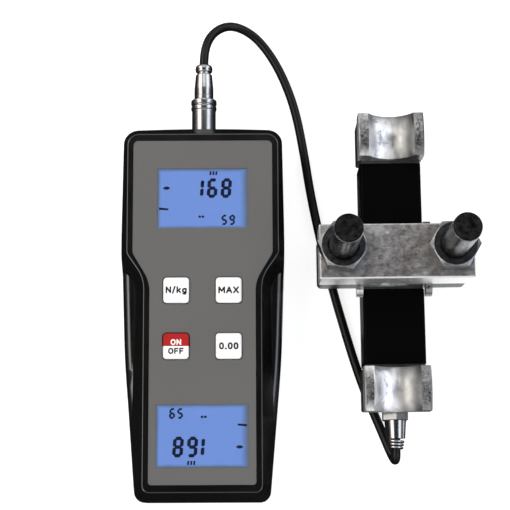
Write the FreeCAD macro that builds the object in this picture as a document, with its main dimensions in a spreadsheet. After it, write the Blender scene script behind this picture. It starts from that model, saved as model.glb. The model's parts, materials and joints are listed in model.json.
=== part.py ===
import FreeCAD, Part
import math
import os
import re

import Sketcher
from FreeCAD import Placement, Rotation, Vector

os.makedirs("parts", exist_ok=True)
doc = FreeCAD.newDocument("force_gauge")

# Driving dimensions, in millimetres and degrees
SIZES = {
    # Meter case
    "half_length": 81.75, "crown": 0.8, "crown_radius": 460,
    "top_half_width": 34.9, "wide_half_width": 35.8, "waist_half_width": 34.2, "foot_half_width": 28.9,
    "wide_level": 27, "waist_level": -21, "side_radius": 420, "top_corner": 6.5, "foot_corner": 4.5,
    "case_wall": 2.4, "floor_wall": 2.2, "face_wall": 2, "ledge_rise": 7, "front_depth": 14,
    "back_round": 4, "ledge_round": 3.4, "parting_break": 0.35, "fit_gap": 0.05,
    # Raised face of the meter
    "ridge_margin": 2.7, "grip_margin": 3.3, "ridge_top_margin": 3.15, "ridge_foot_margin": 4.15,
    "shoulder_level": 25.3, "grip_level": 14.4, "ridge_corner": 5, "ridge_foot_corner": 3,
    "shoulder_round": 4, "grip_round": 16, "flank_angle": 34, "ridge_round": 0.8,
    # Front panel
    "panel_margin": 2.6, "panel_end_margin": 3.1, "panel_thick": 1, "panel_gap": 0.1, "panel_corner": 2.2,
    "panel_foot_corner": 1.4, "panel_recess": 1.2,
    # Displays
    "window_side": 3.15, "window_height": 26.9, "window_lip": 0.6, "upper_window_margin": 12.45,
    "lower_window_margin": 7.25, "display_lip": 2.7, "display_side_gap": 1.2, "display_thick": 2.6,
    "glass_gap": 0.15, "backlight_lip": 1,
    # Keys
    "key_size": 11.1, "key_gap": 0.45, "key_corner": 1.5, "key_column": 11.35, "upper_key_level": 8.85,
    "lower_key_level": -15.45, "key_proud": 0.8, "key_edge": 0.4, "key_lip": 0.9, "key_flange_thick": 0.9,
    "key_travel": 0.7, "travel_gap": 0.1,
    # Circuit board and switches
    "board_lift": 5.1, "board_thick": 1.6, "board_side": 4.2, "board_head_side": 6.1, "board_end": 15.25,
    "board_foot": 16.25, "board_step": 2, "board_corner": 2, "switch_size": 6, "switch_body": 3.2,
    "plunger_radius": 1.7, "boss_radius": 2.6, "board_screw_radius": 1, "board_screw_head": 2,
    "board_screw_head_thick": 1.5, "board_screw_reach": 3.5, "board_screw_side": 2.8, "board_screw_gap": 4.4,
    "chip_size": 9, "chip_thick": 1.5, "chip_level": 47, "driver_level": -40,
    # Case screws
    "case_boss_radius": 3.4, "case_screw_radius": 1.3, "case_screw_head": 2.5, "case_screw_head_thick": 1.8,
    "case_screw_sink": 4, "sink_gap": 0.2, "case_screw_reach": 17.5, "screw_end": 10.75, "screw_foot": 11.25,
    "screw_side": 6.9, "screw_foot_side": 3.8,
    # Batteries and their door
    "cell_radius": 5.2, "cell_length": 43.5, "cell_spacing": 0.4, "nub_radius": 1.8, "nub_length": 0.9,
    "cell_gap": 0.2, "cell_lift": 0.85, "bay_side": 0.3, "bay_foot": 19.25, "bay_end_room": 6.5,
    "bay_wall": 1.4, "roof_gap": 0.4, "door_inset": 0.9, "door_tongue": 1.3, "door_skin": 1.2,
    "door_thick": 2.4, "door_gap": 0.2, "door_cover": 2, "door_foot": 3.75, "door_corner": 1, "door_lift": 0.15,
    "rib_count": 5, "rib_pitch": 1.8, "rib_width": 0.8, "rib_depth": 0.5, "rib_length": 16, "rib_level": 12,
    "contact_thick": 0.5, "contact_width": 8, "contact_spring_radius": 2.6,
    # Socket and plug
    "core_radius": 4.3, "core_wall": 1.1, "plug_gap": 0.2, "socket_wall": 1.7, "flange_lip": 1.8,
    "socket_flange_thick": 2.2, "socket_depth": 13.75, "core_depth": 7.75, "socket_proud": 0.4,
    "sleeve_wall": 1.05, "ring_lip": 0.4, "sleeve_gap": 0.2, "sleeve_length": 10.35, "first_ring_width": 1.9,
    "ring_spacing": 0.6, "second_ring_width": 2.5, "core_show": 1.7, "collar_length": 3.6, "cone_length": 6.6,
    "cone_radius": 3.65, "neck_radius": 3.1, "neck_length": 0.8, "end_ring_radius": 3.85,
    "end_ring_width": 3.8,
    "insert_offset": 4, "insert_length": 8, "insert_pin_radius": 0.5, "insert_pin_circle": 1.9, "pin_show": 3,
    "solder_length": 2,
    # Cord
    "cord_diameter": 4, "cord_gap": 0.1,
    # Place of the sensor beside the meter
    "sensor_across": 83.4, "sensor_along": 23.4, "sensor_turn": 0.4,
    # Sensor beam
    "bar_half_width": 13, "bar_thick": 20, "head_bottom": 6.5, "head_lip": 1.4, "span_middle": -1.3,
    "half_span": 46.3, "saddle_length": 19.3, "head_short": 1, "ear_inset": 0.2, "ear_depth_inset": 1.3,
    "ear_bottom": 7, "ear_corner": 2, "head_corner": 1,
    # Covers and strain gauges
    "cover_wall": 0.5, "cover_skin": 0.8, "cover_inner": 13, "cover_gap": 1.6, "cover_round": 1.2,
    "gauge_length": 9, "gauge_width": 6, "gauge_thick": 0.4, "gauge_level": 29, "gauge_margin": 1,
    # Saddles
    "saddle_rise": 12.2, "saddle_curve": 20, "groove_depth": 6, "flange_width": 4.4, "saddle_edge": 0.6,
    "middle_rise": 6.2, "middle_lip": 0.1, "middle_depth": 4, "middle_groove": 9.75, "cheek_gap": 0.1,
    "cheek_thick": 2.9, "cheek_half_length": 16.5, "cheek_corner": 4, "saddle_screw_radius": 2,
    "saddle_screw_head": 3.5, "saddle_screw_head_thick": 4, "saddle_screw_offset": 9.5,
    "saddle_screw_reach": 3,
    # Clamp
    "plate_half_length": 33.2, "plate_half_depth": 11.8, "plate_thick": 17, "plate_groove": 6,
    "plate_edge": 0.6, "stud_radius": 6, "stud_inset": 9.7, "stud_level": 1, "stud_seat": 2, "stud_show": 36,
    "stud_chamfer": 1.1, "stud_hole_gap": 0.6, "nut_flats": 19, "nut_height": 10.8, "nut_rim_inset": 0.28,
    # Cable gland
    "gland_rise": 5.5, "gland_flats": 10.8, "hex_length": 4.2, "hex_edge": 0.35, "spigot_radius": 4,
    "spigot_length": 6, "barrel_radius": 4.75, "barrel_tip_radius": 4.2, "barrel_length": 7.7,
    "spring_radius": 4, "spring_tip_radius": 3.4, "spring_length": 4.8,
}

# Sizes that follow from them
WORKED_OUT = {
    # Levels of the meter, up from its back
    "bay_top": "door_lift + door_thick + door_gap + cell_lift + 2 * cell_radius + cell_gap",
    "cell_level": "bay_top - cell_gap - cell_radius",
    "parting": "bay_top + bay_wall + roof_gap",
    "ledge": "parting + ledge_rise",
    "case_depth": "parting + front_depth",
    "face_inside": "case_depth - panel_recess - face_wall",
    "panel_top": "case_depth - panel_recess + panel_thick",
    "board_top": "parting + board_lift",
    # Raised face, panel and displays
    "ridge_head": "wide_half_width - ridge_margin",
    "ridge_grip": "foot_half_width - grip_margin",
    "ridge_top": "half_length - ridge_top_margin",
    "ridge_foot": "half_length - ridge_foot_margin",
    "panel_head": "ridge_head - panel_margin",
    "panel_grip": "ridge_grip - panel_margin",
    "panel_upper": "ridge_top - panel_end_margin",
    "panel_lower": "-(ridge_foot - panel_end_margin)",
    "window_width": "2 * (panel_grip - window_side)",
    "upper_window": "panel_upper - upper_window_margin - window_height / 2",
    "lower_window": "panel_lower + lower_window_margin + window_height / 2",
    "display_width": "2 * (ridge_grip - case_wall - display_side_gap)",
    "display_height": "window_height + 2 * display_lip",
    "key_hole": "key_size + 2 * key_gap",
    "key_flange": "key_hole + key_lip",
    # Circuit board
    "board_grip": "ridge_grip - board_side",
    "board_head": "ridge_head - board_head_side",
    "board_upper": "half_length - board_end",
    "board_lower": "-(half_length - board_foot)",
    "board_shoulder": "shoulder_level + board_step",
    "board_screw_column": "board_grip - board_screw_side",
    "board_screw_upper": "upper_window - display_height / 2 - board_screw_gap",
    "board_screw_lower": "lower_window + display_height / 2 + board_screw_gap",
    "board_screw_low": "board_top - board_thick - board_screw_head_thick",
    # Case screws
    "screw_upper": "half_length - screw_end",
    "screw_lower": "-(half_length - screw_foot)",
    "screw_upper_column": "top_half_width - screw_side",
    "screw_lower_column": "foot_half_width - screw_foot_side",
    "case_screw_low": "case_screw_sink - case_screw_head_thick",
    # Battery bay and door
    "cell_pitch": "2 * cell_radius + cell_spacing",
    "bay_half_width": "2 * cell_pitch + bay_side",
    "bay_lower": "-(half_length - bay_foot)",
    "bay_upper": "bay_lower + cell_length + bay_end_room",
    "door_half_width": "bay_half_width - door_inset",
    "door_upper": "bay_upper + door_cover",
    "door_lower": "-(half_length - door_foot)",
    # Socket and plug, along the case
    "core_bore": "core_radius - core_wall",
    "socket_bore": "core_radius + plug_gap",
    "socket_radius": "socket_bore + socket_wall",
    "socket_flange": "socket_radius + flange_lip",
    "case_inside": "half_length - case_wall",
    "socket_inner": "half_length - socket_depth",
    "core_inner": "half_length - core_depth",
    "sleeve_radius": "core_radius + sleeve_wall",
    "ring_radius": "sleeve_radius + ring_lip",
    "sleeve_start": "half_length + socket_proud + sleeve_gap",
    "first_ring_start": "sleeve_start + sleeve_length",
    "first_ring_end": "first_ring_start + first_ring_width",
    "second_ring_start": "first_ring_end + ring_spacing",
    "second_ring_end": "second_ring_start + second_ring_width",
    "collar_start": "second_ring_end + core_show",
    "cone_start": "collar_start + collar_length",
    "cone_end": "cone_start + cone_length",
    "end_ring_start": "cone_end + neck_length",
    "plug_end": "end_ring_start + end_ring_width",
    "insert_start": "core_inner + insert_offset",
    # Sensor, up from the table and out from the middle
    "bar_bottom": "cover_skin",
    "bar_top": "bar_bottom + bar_thick",
    "head_half_width": "bar_half_width + head_lip",
    "head_reach": "half_span + saddle_length - head_short",
    "upper_saddle_middle": "span_middle + half_span + saddle_length / 2",
    "lower_saddle_middle": "span_middle - half_span - saddle_length / 2",
    "ear_half_width": "plate_half_length - ear_inset",
    "ear_half_depth": "plate_half_depth - ear_depth_inset",
    "cover_half_width": "bar_half_width + cover_wall",
    "cover_top": "bar_top + cover_skin",
    "cover_reach": "half_span - cover_gap",
    "saddle_top": "bar_top + saddle_rise",
    "saddle_axis": "saddle_top - saddle_curve",
    "saddle_screw_length": "bar_top - head_bottom + saddle_screw_reach",
    "groove_half_width": "head_half_width - flange_width",
    "groove_radius": "(groove_half_width ^ 2 + groove_depth ^ 2) / (2 * groove_depth)",
    "middle_top": "bar_top + middle_rise",
    "middle_half_length": "plate_half_depth + middle_lip",
    "cheek_inside": "cover_half_width + cheek_gap",
    "middle_half_width": "cheek_inside + cheek_thick",
    "stud_bottom": "ear_bottom + stud_seat",
    "stud_column": "plate_half_length - stud_inset",
    "plate_top": "middle_top + plate_thick",
    "nut_rim": "nut_flats / 2 - nut_rim_inset",
    "stud_top": "plate_top + nut_height + stud_show",
    "gland_height": "head_bottom + gland_rise",
    "gland_start": "span_middle - head_reach",
    "barrel_start": "gland_start - hex_length",
    "spring_start": "barrel_start - barrel_length",
    "cord_bore": "cord_diameter / 2 + cord_gap",
}

sheet = doc.addObject("Spreadsheet::Sheet", "Sizes")
for row, (name, number) in enumerate(SIZES.items(), 1):
    sheet.set(f"A{row}", name)
    sheet.set(f"B{row}", str(number))
    sheet.setAlias(f"B{row}", name)
doc.recompute()


def formula(text):
    """The expression in the sheet's cells, with each worked-out size written out."""
    def spelled(word):
        name = word.group()
        if name in WORKED_OUT:
            return "(" + formula(WORKED_OUT[name]) + ")"
        return "Sizes." + name if name in SIZES else name
    return re.sub(r"[a-z][a-z0-9_]*", spelled, text)


def value(text):
    number = sheet.evalExpression(formula(text))
    return float(getattr(number, "Value", number))


def bind(feature, **properties):
    """Ties properties to expressions of the driving dimensions."""
    for name, text in properties.items():
        feature.setExpression(name.replace("__", "."), formula(text))


def body(label):
    made = doc.addObject("PartDesign::Body", label)
    made.Label = label
    return made


def sketch(owner, name, plane="XY_Plane", level="0", lift="0"):
    """A sketch on an origin plane of the body, raised along the normal and lifted in its own plane."""
    made = owner.newObject("Sketcher::SketchObject", name)
    origin_plane = next(f for f in owner.Origin.OriginFeatures if f.Role == plane)
    made.AttachmentSupport = [(origin_plane, "")]
    made.MapMode = "FlatFace"
    made.setExpression("AttachmentOffset.Base.z", formula(level))
    made.setExpression("AttachmentOffset.Base.y", formula(lift))
    return made


def hold_point(drawn, geometry, end, x, y):
    """Holds a point of the sketch at the place that two expressions give."""
    for kind, text in (("DistanceX", x), ("DistanceY", y)):
        rule = drawn.addConstraint(Sketcher.Constraint(kind, -1, 1, geometry, end, value(text)))
        drawn.setExpression(f"Constraints[{rule}]", formula(text))


def hold_radius(drawn, geometry, radius):
    rule = drawn.addConstraint(Sketcher.Constraint("Radius", geometry, value(radius)))
    drawn.setExpression(f"Constraints[{rule}]", formula(radius))


def rounded_corner(drawn, back, ahead, corner, size):
    """The arc between two sides: its geometry, and which of its ends meets the first side."""
    to_back = (back - corner).normalize()
    to_ahead = (ahead - corner).normalize()
    half = to_back.getAngle(to_ahead) / 2
    start = corner + to_back * (size / math.tan(half))
    end = corner + to_ahead * (size / math.tan(half))
    centre = corner + (to_back + to_ahead).normalize() * (size / math.sin(half))
    first = math.atan2(start.y - centre.y, start.x - centre.x)
    last = math.atan2(end.y - centre.y, end.x - centre.x)
    leftward = (start - centre).cross(end - centre).z > 0
    if not leftward:
        first, last = last, first
    arc = Part.ArcOfCircle(Part.Circle(centre, Vector(0, 0, 1), size), first, last)
    return drawn.addGeometry(arc, False), (1, 2) if leftward else (2, 1), start, end


def outline(drawn, corners):
    """A closed outline of straight sides, each corner an (x, y, radius or None) of expressions."""
    points = [Vector(value(x), value(y), 0) for x, y, radius in corners]
    count = len(points)
    bends = {}
    for i, (x, y, radius) in enumerate(corners):
        if radius is not None:
            bends[i] = rounded_corner(drawn, points[i - 1], points[(i + 1) % count], points[i], value(radius))
    lines = []
    for i in range(count):
        start = bends[i][3] if i in bends else points[i]
        end = bends[(i + 1) % count][2] if (i + 1) % count in bends else points[(i + 1) % count]
        lines.append(drawn.addGeometry(Part.LineSegment(start, end), False))
    for i, (x, y, radius) in enumerate(corners):
        before, after = lines[i - 1], lines[i]
        if i not in bends:
            drawn.addConstraint(Sketcher.Constraint("Coincident", before, 2, after, 1))
            hold_point(drawn, after, 1, x, y)
            continue
        bend, (begin, finish) = bends[i][:2]
        drawn.addConstraint(Sketcher.Constraint("Tangent", before, 2, bend, begin))
        drawn.addConstraint(Sketcher.Constraint("Tangent", bend, finish, after, 1))
        hold_radius(drawn, bend, radius)
        held = drawn.addGeometry(Part.Point(points[i]), True)
        drawn.addConstraint(Sketcher.Constraint("PointOnObject", held, 1, before))
        drawn.addConstraint(Sketcher.Constraint("PointOnObject", held, 1, after))
        hold_point(drawn, held, 1, x, y)


def rectangle(drawn, left, low, right, high, radius=None):
    outline(drawn, [(left, low, radius), (right, low, radius), (right, high, radius), (left, high, radius)])


def centred(drawn, x, y, width, height, radius=None):
    left, right = f"{x} - ({width}) / 2", f"{x} + ({width}) / 2"
    rectangle(drawn, left, f"{y} - ({height}) / 2", right, f"{y} + ({height}) / 2", radius)


def circle(drawn, x, y, radius):
    centre = Vector(value(x), value(y), 0)
    ring = drawn.addGeometry(Part.Circle(centre, Vector(0, 0, 1), value(radius)), False)
    hold_point(drawn, ring, 3, x, y)
    hold_radius(drawn, ring, radius)


def hexagon(drawn, x, y, flats, turn=0):
    """Six corners about a centre, the first at the given angle."""
    corners = []
    for i in range(6):
        angle = math.radians(turn + 60 * i)
        across = f"{x} + ({flats}) / sqrt(3) * {math.cos(angle):.6f}"
        along = f"{y} + ({flats}) / sqrt(3) * {math.sin(angle):.6f}"
        corners.append((across, along, None))
    outline(drawn, corners)


def feature(drawn, kind, ending):
    made = drawn.getParentGeoFeatureGroup().newObject("PartDesign::" + kind, drawn.Name + ending)
    made.Profile = drawn
    return made


def pad(drawn, length, down=False, both=False, taper=None):
    made = feature(drawn, "Pad", "_pad")
    made.Reversed = down
    made.Midplane = both
    bind(made, Length=length)
    if taper:
        bind(made, TaperAngle=taper)
    return made


def pocket(drawn, length, up=False, both=False):
    """A cut against the sketch's normal, or along it with up set."""
    made = feature(drawn, "Pocket", "_cut")
    made.Reversed = up
    made.Midplane = both
    bind(made, Length=length)
    return made


def turned(drawn, kind="Revolution", axis="V_Axis"):
    """A full turn of the sketch about one of its own axes."""
    made = feature(drawn, kind, "_turn")
    made.ReferenceAxis = (drawn, [axis])
    made.Angle = 360
    return made


def rounded(base, radius, chosen, kind="Fillet"):
    """Rounds or chamfers the edges of the feature that the test picks."""
    doc.recompute()
    names = [f"Edge{i}" for i, edge in enumerate(base.Shape.Edges, 1) if chosen(edge)]
    made = base.getParentGeoFeatureGroup().newObject("PartDesign::" + kind, base.Name + "_" + kind.lower())
    made.Base = (base, names)
    bind(made, **{"Radius" if kind == "Fillet" else "Size": radius})
    return made


def on_level(edge, level, tolerance=0.01):
    box = edge.BoundBox
    return abs(box.ZMin - level) < tolerance and abs(box.ZMax - level) < tolerance


def group(label, pieces):
    made = doc.addObject("Part::Compound", label)
    made.Label = label
    made.Links = pieces
    return made


def bar(kind, **properties):
    """A primitive whose sizes and place are expressions."""
    made = doc.addObject("Part::" + kind, kind.lower())
    bind(made, **properties)
    return made


def at(x="0", y="0", z="0"):
    """The bindings of a primitive's place."""
    return {"Placement__Base__x": x, "Placement__Base__y": y, "Placement__Base__z": z}


def along_case(primitive, way=-90):
    """Lays a round primitive along the case."""
    primitive.Placement.Rotation = Rotation(Vector(1, 0, 0), way)
    return primitive


def joined(name, pieces):
    made = doc.addObject("Part::MultiFuse", name)
    made.Shapes = pieces
    return made


def beside_meter(made):
    """Puts a piece of the sensor where the sensor lies."""
    made.Placement = Placement(Vector(0, 0, 0), Rotation(Vector(0, 0, 1), 1))
    bind(made, Placement__Base__x="sensor_across", Placement__Base__y="sensor_along",
         Placement__Rotation__Angle="sensor_turn")
    return made


# Outlines of the meter's case, raised face and panel
def case_outline(drawn, inset="0"):
    """The case from above: a crowned top, a wide head and a grip that narrows to the foot."""
    half = [(f"foot_half_width - {inset}", f"{inset} - half_length", "foot_corner"),
            (f"waist_half_width - {inset}", "waist_level", "side_radius"),
            (f"wide_half_width - {inset}", "wide_level", "side_radius"),
            (f"top_half_width - {inset}", f"half_length - crown - {inset}", "top_corner")]
    top = ("0", f"half_length + crown - {inset}", "crown_radius")
    outline(drawn, half + [top] + [(f"-({x})", y, radius) for x, y, radius in reversed(half)])


def face_outline(drawn, head, grip, top, foot, waist, corner, foot_corner, inset="0"):
    """A head, an S-shaped shoulder each side and a straight grip."""
    half = [(f"{grip} - {inset}", f"{foot} + {inset}", foot_corner),
            (f"{grip} - {inset}", f"{waist} + {inset} * 0.3", f"grip_round + {inset}"),
            (f"{head} - {inset}", f"shoulder_level + {inset} * 0.3", "shoulder_round"),
            (f"{head} - {inset}", f"{top} - {inset}", corner)]
    outline(drawn, half + [(f"-({x})", y, radius) for x, y, radius in reversed(half)])


def ridge_outline(drawn, inset="0"):
    face_outline(drawn, "ridge_head", "ridge_grip", "ridge_top", "-ridge_foot", "grip_level", "ridge_corner",
                 "ridge_foot_corner", inset)


def panel_outline(drawn, outset="0"):
    waist = "grip_level - panel_margin * 0.6"
    face_outline(drawn, "panel_head", "panel_grip", "panel_upper", "panel_lower", waist, "panel_corner",
                 "panel_foot_corner", f"(-({outset}))")


def mirrored(column, level):
    return [("-" + column, level), (column, level)]


WINDOWS = {"upper": "upper_window", "lower": "lower_window"}
KEYS = {"key_unit": ("-key_column", "upper_key_level"), "key_peak": ("key_column", "upper_key_level"),
        "key_power": ("-key_column", "lower_key_level"), "key_zero": ("key_column", "lower_key_level")}
CASE_SCREWS = mirrored("screw_upper_column", "screw_upper") + mirrored("screw_lower_column", "screw_lower")
BOARD_SCREWS = (mirrored("board_screw_column", "board_screw_upper")
                + mirrored("board_screw_column", "board_screw_lower"))

SADDLES = {"upper_saddle": "upper_saddle_middle", "lower_saddle": "lower_saddle_middle"}
SADDLE_SCREWS = [place for middle in SADDLES.values() for place in mirrored("saddle_screw_offset", middle)]


def circles(drawn, places, radius):
    for x, y in places:
        circle(drawn, x, y, radius)


def socket_hole(shell):
    """The round way through the end wall, on the parting plane."""
    hole = sketch(shell, "socket_hole", "XZ_Plane", "-(half_length + crown + 1)")
    circle(hole, "0", "parting", "socket_radius")
    pocket(hole, "crown + 1 + case_wall + socket_flange_thick", up=True)


def front_housing():
    """The upper shell: a filleted ledge all round and a raised face with sloping flanks."""
    shell = body("front_housing")
    base = sketch(shell, "front_base", level="parting")
    case_outline(base)
    block = pad(base, "ledge - parting")
    edged = rounded(block, "ledge_round", lambda e: on_level(e, value("ledge")))
    rounded(edged, "parting_break", lambda e: on_level(e, value("parting")), "Chamfer")
    face = sketch(shell, "front_face", level="case_depth")
    ridge_outline(face)
    pad(face, "case_depth - ledge + ledge_round", down=True, taper="flank_angle")
    trim = sketch(shell, "front_trim", level="ledge - ledge_round")
    rectangle(trim, "-2 * wide_half_width", "-2 * half_length", "2 * wide_half_width", "2 * half_length")
    case_outline(trim)
    cut = pocket(trim, "case_depth", up=True)
    rounded(cut, "ridge_round", lambda e: on_level(e, value("case_depth")))
    low = sketch(shell, "front_hollow", level="parting")
    case_outline(low, "case_wall")
    pocket(low, "ledge - floor_wall - parting", up=True)
    high = sketch(shell, "face_hollow", level="parting")
    ridge_outline(high, "case_wall")
    pocket(high, "face_inside - parting", up=True)
    recess = sketch(shell, "panel_seat", level="case_depth")
    panel_outline(recess, "panel_gap")
    pocket(recess, "panel_recess")
    holes = sketch(shell, "face_holes", level="case_depth")
    for level in WINDOWS.values():
        centred(holes, "0", level, "window_width - 2 * window_lip", "window_height - 2 * window_lip")
    for x, y in KEYS.values():
        centred(holes, x, y, "key_hole", "key_hole", "key_corner + key_gap")
    pocket(holes, "case_depth - face_inside + face_wall")
    bosses = sketch(shell, "case_bosses", level="parting")
    circles(bosses, CASE_SCREWS, "case_boss_radius")
    pad(bosses, "ledge - floor_wall - parting")
    shanks = sketch(shell, "case_screw_holes", level="parting")
    circles(shanks, CASE_SCREWS, "case_screw_radius")
    pocket(shanks, "case_screw_sink + case_screw_reach - parting", up=True)
    posts = sketch(shell, "board_posts", level="board_top")
    circles(posts, BOARD_SCREWS, "boss_radius")
    circles(posts, BOARD_SCREWS, "board_screw_radius")
    pad(posts, "face_inside - board_top")
    socket_hole(shell)
    flange = sketch(shell, "flange_room", "XZ_Plane", "-case_inside")
    circle(flange, "0", "parting", "socket_flange + plug_gap")
    pocket(flange, "case_wall + socket_flange", up=True)
    return shell


def rear_housing():
    """The lower shell: a rounded back, the battery bay, screw bosses and the door's slide."""
    shell = body("rear_housing")
    base = sketch(shell, "rear_base")
    case_outline(base)
    block = pad(base, "parting")
    backed = rounded(block, "back_round", lambda e: on_level(e, 0))
    rounded(backed, "parting_break", lambda e: on_level(e, value("parting")), "Chamfer")
    hollow = sketch(shell, "rear_hollow", level="parting")
    case_outline(hollow, "case_wall")
    rectangle(hollow, "-(bay_half_width + bay_wall)", "case_wall + door_cover - half_length",
              "bay_half_width + bay_wall", "bay_upper + bay_wall")
    pocket(hollow, "parting - floor_wall - 1")
    roof = sketch(shell, "bay_roof", level="parting")
    rectangle(roof, "-(bay_half_width + 2 * bay_wall)", "case_wall - half_length",
              "bay_half_width + 2 * bay_wall", "bay_upper + 2 * bay_wall")
    pocket(roof, "roof_gap")
    bosses = sketch(shell, "rear_bosses", level="floor_wall")
    circles(bosses, CASE_SCREWS, "case_boss_radius")
    pad(bosses, "parting - floor_wall")
    bay = sketch(shell, "battery_bay")
    rectangle(bay, "-bay_half_width", "bay_lower", "bay_half_width", "bay_upper")
    pocket(bay, "bay_top", up=True)
    slot = sketch(shell, "door_slot")
    rectangle(slot, "-(door_half_width + door_gap)", "-2 * half_length", "door_half_width + door_gap",
              "door_upper + door_gap")
    pocket(slot, "door_thick + door_lift + door_gap", up=True)
    groove = sketch(shell, "tongue_groove", level="door_lift + door_skin - door_gap")
    rectangle(groove, "-(door_half_width + door_tongue + door_gap)", "-2 * half_length",
              "door_half_width + door_tongue + door_gap", "door_upper + door_gap")
    pocket(groove, "door_thick - door_skin + 2 * door_gap", up=True)
    sinks = sketch(shell, "screw_sinks")
    circles(sinks, CASE_SCREWS, "case_screw_head + sink_gap")
    pocket(sinks, "case_screw_sink", up=True)
    shanks = sketch(shell, "screw_ways")
    circles(shanks, CASE_SCREWS, "case_screw_radius")
    pocket(shanks, "parting", up=True)
    socket_hole(shell)
    return shell


def front_panel():
    overlay = body("front_panel")
    drawn = sketch(overlay, "panel", level="case_depth - panel_recess")
    panel_outline(drawn)
    for level in WINDOWS.values():
        centred(drawn, "0", level, "window_width", "window_height")
    for x, y in KEYS.values():
        centred(drawn, x, y, "key_hole", "key_hole", "key_corner + key_gap")
    pad(drawn, "panel_thick")
    return overlay


def plate(label, x, y, width, height, low, thick, radius=None):
    """A flat piece with a rectangular outline."""
    made = body(label)
    drawn = sketch(made, label + "_outline", level=low)
    centred(drawn, x, y, width, height, radius)
    pad(drawn, thick)
    return made


def displays():
    """Each window with its display behind it, stepped up into the housing's opening, and its backlight."""
    made = []
    for name, level in WINDOWS.items():
        made.append(plate(name + "_window", "0", level, "window_width", "window_height",
                          "case_depth - panel_recess", "panel_thick"))
        display = plate(name + "_display", "0", level, "display_width", "display_height",
                        "face_inside - display_thick", "display_thick")
        glass = sketch(display, name + "_glass", level="face_inside")
        opening = "2 * (window_lip + glass_gap)"
        centred(glass, "0", level, f"window_width - {opening}", f"window_height - {opening}")
        pad(glass, "face_wall - glass_gap")
        made.append(display)
        room = "face_inside - display_thick - board_top"
        made.append(plate(name + "_backlight", "0", level, "display_width - 2 * backlight_lip",
                          "display_height - 2 * backlight_lip", "board_top", room))
    return made


def keys():
    """Square caps with a broken edge, each held in by a flange under the face."""
    made = []
    for label, (x, y) in KEYS.items():
        key = body(label)
        cap = sketch(key, label + "_cap", level="face_inside - key_flange_thick")
        centred(cap, x, y, "key_size", "key_size", "key_corner")
        top = pad(cap, "panel_top + key_proud - face_inside + key_flange_thick")
        rounded(top, "key_edge", lambda e: on_level(e, value("panel_top + key_proud")), "Chamfer")
        flange = sketch(key, label + "_flange", level="face_inside - key_flange_thick")
        centred(flange, x, y, "key_flange", "key_flange", "key_corner")
        pad(flange, "key_flange_thick")
        made.append(key)
    return made


def main_board():
    """The board with its four screw holes, and a chip behind each display."""
    board = body("main_board")
    drawn = sketch(board, "board_outline", level="board_top - board_thick")
    right = [("board_grip", "board_lower", "board_corner"), ("board_grip", "grip_level + board_step", None),
             ("board_head", "board_shoulder", None), ("board_head", "board_upper", "board_corner")]
    outline(drawn, right + [("-" + x, y, radius) for x, y, radius in reversed(right)])
    circles(drawn, BOARD_SCREWS, "board_screw_radius")
    pad(drawn, "board_thick")
    chips = sketch(board, "chips", level="board_top - board_thick")
    for level in ("chip_level", "driver_level"):
        centred(chips, "0", level, "chip_size", "chip_size")
    pad(chips, "chip_thick", down=True)
    return board


def key_switches():
    made = []
    for x, y in KEYS.values():
        base = bar("Box", Length="switch_size", Width="switch_size", Height="switch_body",
                   **at(x + " - switch_size / 2", y + " - switch_size / 2", "board_top"))
        stem = "face_inside - key_flange_thick - key_travel - travel_gap - board_top"
        plunger = bar("Cylinder", Radius="plunger_radius", Height=stem, **at(x, y, "board_top"))
        made.append(joined("switch", [base, plunger]))
    return group("key_switches", made)


def screws(label, places, head, head_thick, shank, reach, low):
    """Screws whose heads lie at the low end and whose shanks point up."""
    made = []
    for x, y in places:
        cap = bar("Cylinder", Radius=head, Height=head_thick, **at(x, y, low))
        stem = bar("Cylinder", Radius=shank, Height=f"{head_thick} + {reach}", **at(x, y, low))
        made.append(joined("screw", [cap, stem]))
    return group(label, made)


def cell(x, way):
    """A cell whose nub points up the case, or down it."""
    made = []
    for radius, start, length in (("cell_radius", "-cell_length / 2", "cell_length"),
                                  ("nub_radius", "cell_length / 2", "nub_length")):
        low = start if way > 0 else f"-({start}) - {length}"
        made.append(along_case(bar("Cylinder", Radius=radius, Height=length,
                                   **at(x, f"(bay_upper + bay_lower) / 2 + {low}", "cell_level"))))
    return joined("cell", made)


def contact(x, end, at_nub):
    """A leaf on the bay's end wall with a spring, or a short stud where it meets a nub."""
    edge = "bay_upper - contact_thick" if end > 0 else "bay_lower"
    leaf = bar("Box", Length="contact_width", Width="contact_thick", Height="contact_width",
               **at(x + " - contact_width / 2", edge, "cell_level - contact_width / 2"))
    reach = "(bay_upper - bay_lower - cell_length) / 2 - contact_thick" + (" - nub_length" if at_nub else "")
    start = f"{edge} - ({reach})" if end > 0 else "bay_lower + contact_thick"
    spring = bar("Cylinder", Radius="nub_radius" if at_nub else "contact_spring_radius", Height=reach,
                 **at(x, start, "cell_level"))
    return joined("contact", [leaf, along_case(spring)])


def batteries():
    cells, contacts = [], []
    for i in range(4):
        x = f"cell_pitch * {i - 1.5}"
        way = 1 if i % 2 else -1
        cells.append(cell(x, way))
        contacts += [contact(x, end, end == way) for end in (1, -1)]
    return [group("batteries", cells), group("battery_contacts", contacts)]


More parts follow.
